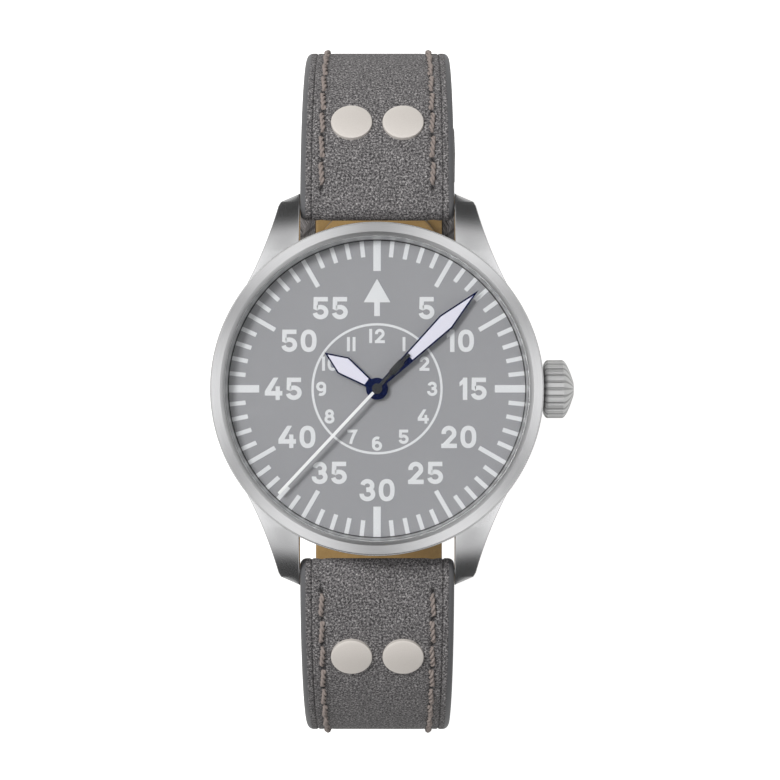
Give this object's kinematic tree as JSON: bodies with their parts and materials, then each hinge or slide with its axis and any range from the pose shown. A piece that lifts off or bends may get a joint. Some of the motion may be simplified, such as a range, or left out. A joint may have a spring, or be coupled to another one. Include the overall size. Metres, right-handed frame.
{
  "type": "pilot watch",
  "caption": "Steel hand-wound pilot watch with grey dial, blued hands and onion crown on a riveted grey leather strap with pin buckle; hands, crown, train, strap and buckle move.",
  "frame": {"origin": "centre of the case back's outer face", "axes": "+Z out through the crystal, +Y to twelve o'clock, +X to the crown"},
  "size_m": [0.0466, 0.093, 0.0618],
  "materials": {
    "case_steel": "brushed and polished stainless steel",
    "plain_steel": "plain turned steel",
    "polished_steel": "polished steel",
    "satin_nickel": "satin nickel plate",
    "sapphire": "clear polished glass",
    "black_rubber": "moulded nitrile rubber",
    "clear_gasket": "moulded nylon",
    "dial_grey": "matt grey lacquer on brass",
    "dial_print": "pad printed pale ink",
    "blued_steel": "heat blued steel",
    "lume": "cast luminous paint",
    "white_hand": "white lacquer on steel",
    "movement_brass": "gilt brass",
    "movement_nickel": "rhodium plated brass",
    "holder_plastic": "moulded plastic",
    "spring_steel": "drawn spring steel",
    "grey_leather": "cracked vintage calf leather",
    "tan_lining": "smooth tan calf lining",
    "filler": "bonded leather board",
    "thread": "twisted polyester thread"
  },
  "bodies": {
    "case": {"case_body": "case_steel", "bezel": "case_steel", "crystal": "sapphire", "crystal_gasket": "clear_gasket", "flange_ring": "case_steel", "dial": "dial_grey", "dial_markings": "dial_print", "movement_holder": "holder_plastic", "case_back": "plain_steel", "case_back_gasket": "black_rubber", "crown_tube": "plain_steel", "main_plate": "movement_nickel", "train_bridge": "movement_nickel", "balance_bridge": "movement_nickel", "movement_screws": "blued_steel", "spring_bars": "plain_steel", "hairspring": "spring_steel"},
    "seconds": {"second_hand": "white_hand", "fourth_wheel": "movement_brass"},
    "minutes": {"minute_hand": "blued_steel", "minute_hand_lume": "lume", "cannon_pinion": "plain_steel", "centre_wheel": "movement_brass"},
    "hours": {"hour_hand": "blued_steel", "hour_hand_lume": "lume", "hour_wheel": "movement_brass"},
    "minute_work": {"minute_wheel": "movement_brass"},
    "third": {"third_wheel": "movement_brass"},
    "escape": {"escape_wheel": "plain_steel"},
    "pallets": {"pallet_fork": "plain_steel"},
    "balance": {"balance_wheel": "movement_brass"},
    "barrel_drum": {"barrel": "movement_brass", "mainspring": "spring_steel"},
    "ratchet": {"barrel_arbor": "plain_steel", "ratchet_wheel": "plain_steel"},
    "crown_wheel_body": {"crown_wheel": "plain_steel"},
    "clutch": {"sliding_pinion": "plain_steel", "winding_pinion": "plain_steel"},
    "crown_and_stem": {"crown": "polished_steel", "stem": "plain_steel", "crown_gasket": "black_rubber"},
    "strap_12": {"strap_12_leather": "grey_leather", "strap_12_filler": "filler", "strap_12_lining": "tan_lining", "strap_12_stitching": "thread", "strap_12_rivets": "satin_nickel", "buckle_bar": "plain_steel", "fixed_keeper": "grey_leather"},
    "strap_6": {"strap_6_leather": "grey_leather", "strap_6_filler": "filler", "strap_6_lining": "tan_lining", "strap_6_stitching": "thread", "strap_6_rivets": "satin_nickel"},
    "buckle": {"buckle_frame": "case_steel"},
    "tongue": {"buckle_tongue": "polished_steel"},
    "keeper": {"free_keeper": "grey_leather"},
    "tip_12_left": {"spring_bar_tip_12_left": "plain_steel"},
    "tip_12_right": {"spring_bar_tip_12_right": "plain_steel"},
    "tip_6_left": {"spring_bar_tip_6_left": "plain_steel"},
    "tip_6_right": {"spring_bar_tip_6_right": "plain_steel"}
  },
  "joints": [
    {"name": "seconds_turn", "type": "hinge", "parent": "case", "child": "seconds", "pos_m": [0, 0, 0.0086], "axis": [0, 0, -1], "continuous": true},
    {"name": "minutes_turn", "type": "hinge", "parent": "case", "child": "minutes", "pos_m": [0, 0, 0.0082], "axis": [0, 0, -1], "continuous": true},
    {"name": "hours_turn", "type": "hinge", "parent": "case", "child": "hours", "pos_m": [0, 0, 0.0078], "axis": [0, 0, -1], "continuous": true},
    {"name": "minute_wheel_turn", "type": "hinge", "parent": "case", "child": "minute_work", "pos_m": [0.00198, -0.00198, 0.0064], "axis": [0, 0, -1], "continuous": true},
    {"name": "third_wheel_turn", "type": "hinge", "parent": "case", "child": "third", "pos_m": [-0.00439, 0.00031, 0.0033], "axis": [0, 0, -1], "continuous": true},
    {"name": "escape_wheel_turn", "type": "hinge", "parent": "case", "child": "escape", "pos_m": [-0.00215, -0.00372, 0.0035], "axis": [0, 0, -1], "continuous": true},
    {"name": "barrel_turn", "type": "hinge", "parent": "case", "child": "barrel_drum", "pos_m": [0.00457, 0.00434, 0.0038], "axis": [0, 0, -1], "continuous": true},
    {"name": "pallet_swing", "type": "hinge", "parent": "case", "child": "pallets", "pos_m": [-0.00139, -0.00566, 0.0035], "axis": [0, 0, 1], "range_deg": [-5, 5]},
    {"name": "balance_swing", "type": "hinge", "parent": "case", "child": "balance", "pos_m": [-0.00054, -0.00778, 0.003], "axis": [0, 0, 1], "range_deg": [-300, 300]},
    {"name": "crown_turn", "type": "hinge", "parent": "case", "child": "clutch", "pos_m": [0.0107, 0, 0.0042], "axis": [1, 0, 0], "continuous": true},
    {"name": "crown_wheel_turn", "type": "hinge", "parent": "case", "child": "crown_wheel_body", "pos_m": [0.009, 0, 0.0019], "axis": [0, 0, 1], "continuous": true},
    {"name": "ratchet_turn", "type": "hinge", "parent": "case", "child": "ratchet", "pos_m": [0.00457, 0.00434, 0.0019], "axis": [0, 0, 1], "continuous": true},
    {"name": "crown_pull", "type": "slide", "parent": "clutch", "child": "crown_and_stem", "axis": [1, 0, 0], "range_m": [0, 0.001]},
    {"name": "strap_12_swing", "type": "hinge", "parent": "case", "child": "strap_12", "pos_m": [0, 0.0235, 0.0025], "axis": [1, 0, 0], "range_deg": [0, 45]},
    {"name": "strap_6_swing", "type": "hinge", "parent": "case", "child": "strap_6", "pos_m": [0, -0.0235, 0.0025], "axis": [1, 0, 0], "range_deg": [0, 18]},
    {"name": "buckle_swing", "type": "hinge", "parent": "strap_12", "child": "buckle", "pos_m": [0, 0.0168, -0.04398], "axis": [1, 0, 0], "range_deg": [0, 50]},
    {"name": "tongue_swing", "type": "hinge", "parent": "buckle", "child": "tongue", "pos_m": [0, 0.0168, -0.04398], "axis": [1, 0, 0], "range_deg": [0, 45]},
    {"name": "free_keeper_slide", "type": "hinge", "parent": "strap_12", "child": "keeper", "pos_m": [0, 0.0211, -0.02068], "axis": [1, 0, 0], "range_deg": [0, 28]},
    {"name": "tip_12_left_press", "type": "slide", "parent": "case", "child": "tip_12_left", "axis": [1, 0, 0], "range_m": [0, 0.001], "stiffness_N_per_m": 400},
    {"name": "tip_12_right_press", "type": "slide", "parent": "case", "child": "tip_12_right", "axis": [-1, 0, 0], "range_m": [0, 0.001], "stiffness_N_per_m": 400},
    {"name": "tip_6_left_press", "type": "slide", "parent": "case", "child": "tip_6_left", "axis": [1, 0, 0], "range_m": [0, 0.001], "stiffness_N_per_m": 400},
    {"name": "tip_6_right_press", "type": "slide", "parent": "case", "child": "tip_6_right", "axis": [-1, 0, 0], "range_m": [0, 0.001], "stiffness_N_per_m": 400}
  ],
  "couplings": [
    {"joint": "third_wheel_turn", "follows": "seconds_turn", "ratio": -0.13333},
    {"joint": "minutes_turn", "follows": "seconds_turn", "ratio": 0.016667},
    {"joint": "hours_turn", "follows": "seconds_turn", "ratio": 0.0013889},
    {"joint": "minute_wheel_turn", "follows": "seconds_turn", "ratio": -0.0055556},
    {"joint": "barrel_turn", "follows": "seconds_turn", "ratio": -0.0027778},
    {"joint": "escape_wheel_turn", "follows": "seconds_turn", "ratio": -10},
    {"joint": "crown_wheel_turn", "follows": "crown_turn", "ratio": 0.45455},
    {"joint": "ratchet_turn", "follows": "crown_turn", "ratio": -0.25}
  ]
}
